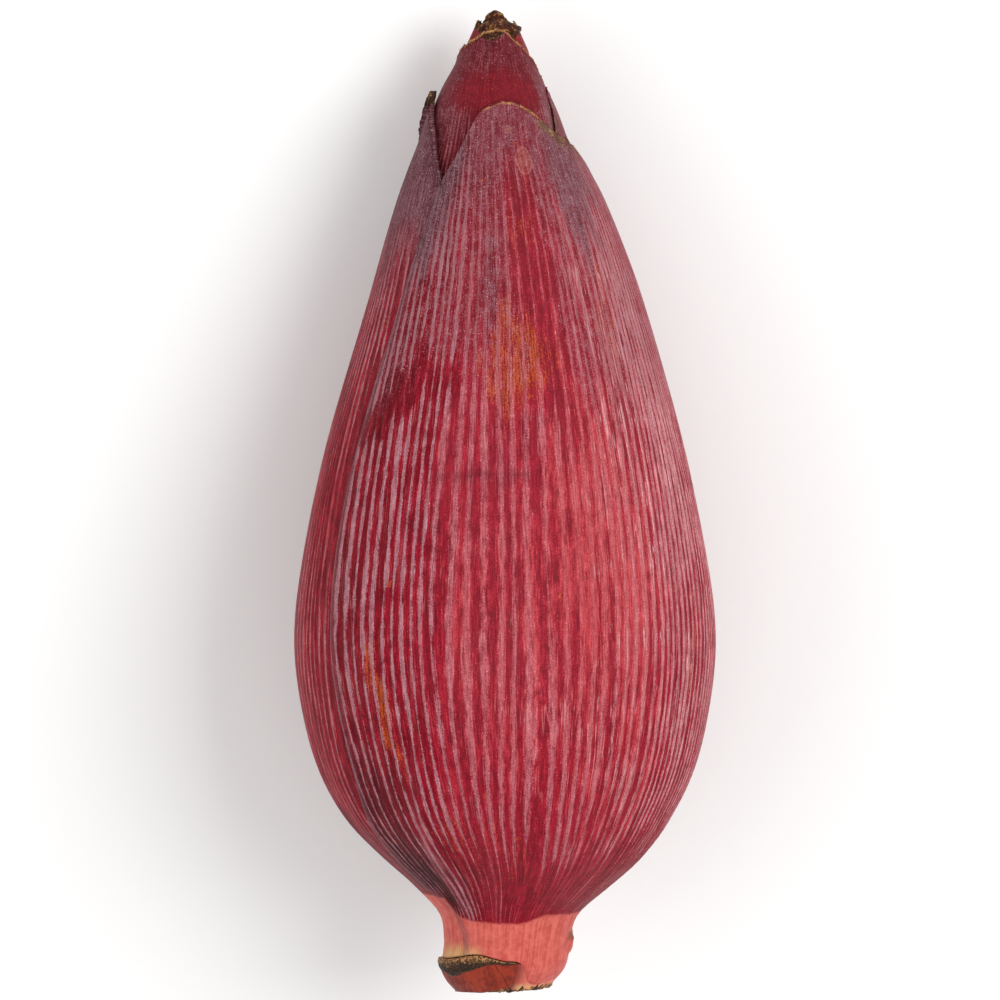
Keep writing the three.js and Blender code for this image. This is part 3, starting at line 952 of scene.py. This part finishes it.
    # The pink foot, with a darker red band along its upper edge, and cream where it meets the scar.
    over_foot = s.math("ADD", above_pink, s.total((1.2, streaks), (1.4, mottle)))
    foot = s.between(s.total((0.8, streaks), (1.0, mottle), (0.6, bands)), -0.2, 0.2)
    foot = s.mix(foot, PINK_SHADE, PINK)
    flame = s.product(s.between(angle, -14.0, -30.0), s.between(angle, -95.0, -62.0))
    tall = s.math("ADD", high, s.total((9.0, fibres), (6.0, streaks)))
    foot = s.mix(s.product(flame, s.between(tall, 14.5, 9.8)), foot, CREAM)
    skin = s.mix(s.between(over_foot, 3.2, 0.0, 0.0, 0.5), skin, DEEP_RED)
    skin = s.mix(s.between(over_foot, 0.55, -0.4), skin, foot)

    # Dried edges: an olive scuff, bark or crumbs at the rim, and a pale lip at the very rim.
    skin = s.mix(s.between(from_margin, 3.4, 1.4, 0.0, 0.4), skin, ash)
    scuff = s.between(s.total((1.2, mottle), (1.0, grain)), -0.25, 0.15, 0.35, 0.95)
    crust = s.between(s.total((1.2, mottle), (1.2, grain)), -0.16, 0.06)
    crust = s.mix(crust, BARK, OLIVE)
    crust = s.mix(s.between(s.total((1.0, mottle), (1.4, grain)), 0.12, 0.26), crust, TAN)
    skin = s.mix(s.product(olive, scuff), skin, crust)
    crumbs = s.between(s.total((1.4, grain), (1.0, mottle)), -0.12, 0.1)
    crumbs = s.mix(crumbs, SOOT, BARK)
    pale_crumb = s.between(s.total((1.2, mottle), (0.6, grain)), 0.08, 0.18, 0.0, 0.9)
    crumbs = s.mix(pale_crumb, crumbs, TAN)
    ragged = s.total((1.6, mottle), (1.6, grain), (1.5, fibres))
    past_bark = s.math("ADD", s.math("SUBTRACT", from_rim, bark), ragged)
    skin = s.mix(s.between(past_bark, 0.25, -0.25, 0.0, 0.92), skin, crumbs)
    at_lip = s.math("ADD", from_rim, s.total((1.8, mottle), (1.2, grain)))
    at_lip = s.math("MULTIPLY", s.between(at_lip, 0.85, 0.45), lip, clamp=True)
    pale = s.between(s.total((1.0, grain), (1.0, mottle)), -0.15, -0.02)
    skin = s.mix(at_lip, skin, s.mix(pale, BARK, TAN))
    s.feed(s.surface.inputs["Base Color"], skin)

    matt = s.math("MAXIMUM", stripe, film)
    s.feed(s.surface.inputs["Roughness"], s.between(matt, 0.0, 0.8, 0.36, 0.6))
    s.surface.inputs["Specular IOR Level"].default_value = 0.06
    fine = s.bump(s.total((1.0, fibres), (0.6, grain)), 0.5)
    s.feed(s.surface.inputs["Normal"], s.bump(mottle, 0.35, fine))
    return s.material


def stem_material():
    """Cut stem: orange-brown stub, crusted scar, dry fringe and a browned cut face."""
    s = Shader("stem_flesh")
    around, high, angle = s.attribute("flow")
    crust, up_crust, face = s.attribute("marks")
    radius, fringe, crack = s.attribute("disc")
    place = s.node("TexCoord", "Object", {})
    streaks = s.noise(s.vector(around, s.product(high, 0.25), 3.0), 0.8, 3.0, 0.6)
    grain = s.noise(place, 1500.0, 4.0, 0.7)
    blotch = s.noise(place, 190.0, 3.0, 0.6)
    stub = s.mix(s.between(blotch, 0.36, 0.62), STUB_DARK, STUB_RED)
    stub = s.mix(s.between(streaks, 0.5, 0.66, 0.0, 0.45), stub, STUB_STREAK)
    stub = s.mix(s.between(angle, 10.0, 30.0, 0.0, 0.95), stub, PINK)
    cream = s.product(s.between(angle, 8.0, 26.0), s.between(high, 3.6, 1.6))
    stub = s.mix(s.product(cream, s.between(streaks, 0.3, 0.6)), stub, CREAM)
    stub = s.mix(s.between(crack, 0.2, 0.08, 0.0, 0.8), stub, SOOT)

    dark_bark = s.mix(s.between(grain, 0.44, 0.62), SOOT, BARK)
    pale_bark = s.mix(s.between(grain, 0.46, 0.56), BARK, TAN)
    # The crust pales from its foot to its upper edge: dark crust of its own, with painted shade
    # under the ledge and painted light on its top.
    height = s.math("ADD", up_crust, s.product(s.math("SUBTRACT", blotch, 0.5), 1.2))
    scab = s.mix(s.between(height, 0.5, 0.85), dark_bark, pale_bark)
    stub = s.mix(s.between(crust, 0.35, 0.6), stub, scab)

    pith = s.mix(s.between(blotch, 0.35, 0.65), PITH, PITH_SHADE)
    pores = s.node("TexVoronoi", 0, {"Vector": place, "Scale": 900.0})
    pith = s.mix(s.between(pores, 0.28, 0.12, 0.0, 0.6), pith, BARK)
    pith = s.mix(s.between(radius, 9.2, 11.4), pith, BARK)
    skin = s.mix(face, stub, pith)
    fibre = s.mix(s.between(blotch, 0.42, 0.56), dark_bark, pale_bark)
    skin = s.mix(s.between(fringe, 0.3, 0.6), skin, fibre)
    s.feed(s.surface.inputs["Base Color"], skin)
    s.feed(s.surface.inputs["Roughness"], s.between(grain, 0.3, 0.7, 0.42, 0.7))
    s.surface.inputs["Specular IOR Level"].default_value = 0.25
    s.feed(s.surface.inputs["Normal"], s.bump(grain, 0.5))
    return s.material


def plain_material(name, colour, roughness):
    """One colour all over."""
    s = Shader(name)
    s.surface.inputs["Base Color"].default_value = colour
    s.surface.inputs["Roughness"].default_value = roughness
    return s.material


# ---- Camera, light and table ----
def aim(thing, at, towards, roll_up):
    """Puts an object at a point, facing another with its -Z, and rolls it so that roll_up is up."""
    back = (Vector(at) - Vector(towards)).normalized()
    right = Vector(roll_up).cross(back).normalized()
    up = back.cross(right)
    thing.matrix_world = Matrix.Translation(at) @ Matrix((right, up, back)).transposed().to_4x4()


def make_camera():
    """Looks straight down on the bud's axis, with the tip up in the picture."""
    distance, field = 1.7, 0.270  # metres: how far off it is, and how much it sees across
    middle = placed(np.array([-0.95, 132.6, 0.0]))  # the point at the picture's centre
    out = np.array([0.0, math.sin(REST_TILT), math.cos(REST_TILT)])
    data = bpy.data.cameras.new("camera")
    data.sensor_width = 36.0
    data.lens = data.sensor_width * distance / field
    data.clip_end = 20.0
    camera = bpy.data.objects.new("camera", data)
    bpy.context.scene.collection.objects.link(camera)
    aim(camera, middle + distance * out, middle, (0.0, 1.0, 0.0))
    bpy.context.scene.camera = camera


def add_area(name, at, towards, size, watts):
    """A soft square light."""
    data = bpy.data.lights.new(name, "AREA")
    data.size = size
    data.energy = watts
    light = bpy.data.objects.new(name, data)
    bpy.context.scene.collection.objects.link(light)
    aim(light, at, towards, (0.0, 1.0, 0.1))


def make_studio():
    """A pale table, white surroundings, and a key light at the right with a weak fill opposite."""
    world = bpy.data.worlds.new("studio")
    world.use_nodes = True
    background = world.node_tree.nodes["Background"]
    background.inputs["Color"].default_value = (1.0, 1.0, 1.0, 1.0)
    background.inputs["Strength"].default_value = 0.7
    bpy.context.scene.world = world
    centre = (0.0, 0.0, 0.05)
    add_area("key", (0.75, 0.35, 1.15), centre, size=0.7, watts=11.2)
    add_area("fill", (-0.9, -0.1, 0.9), centre, size=0.9, watts=3.4)
    mesh = bpy.data.meshes.new("table")
    half = 3.0
    corners = [(-half, -half, 0), (half, -half, 0), (half, half, 0), (-half, half, 0)]
    mesh.from_pydata(corners, [], [(0, 1, 2, 3)])
    mesh.materials.append(plain_material("table", (0.9, 0.9, 0.895, 1.0), roughness=0.8))
    table = bpy.data.objects.new("table", mesh)
    bpy.context.scene.collection.objects.link(table)
    bpy.context.scene.view_settings.view_transform = "Standard"


make_camera()
make_studio()
# The second red of each pair is painted shade for the rib valleys.
SKIN_COLOURS = {  # by slot: the red of the ridges and of the valleys
    "outer_bract_skin": (CRIMSON, DEEP_RED),
    "upper_bract_skin": (CAP_RED, CAP_SHADOW),
    "inner_bract_skin": (TIP_RED, TIP_SHADOW),
}
skins = {slot: bract_material(slot, *colours) for slot, colours in SKIN_COLOURS.items()}
for bract_name, bract_parts in BRACTS.items():
    make_bract(bract_name, skins[bract_parts["slot"]])
make_heart(skins["inner_bract_skin"])
make_stem(stem_material())
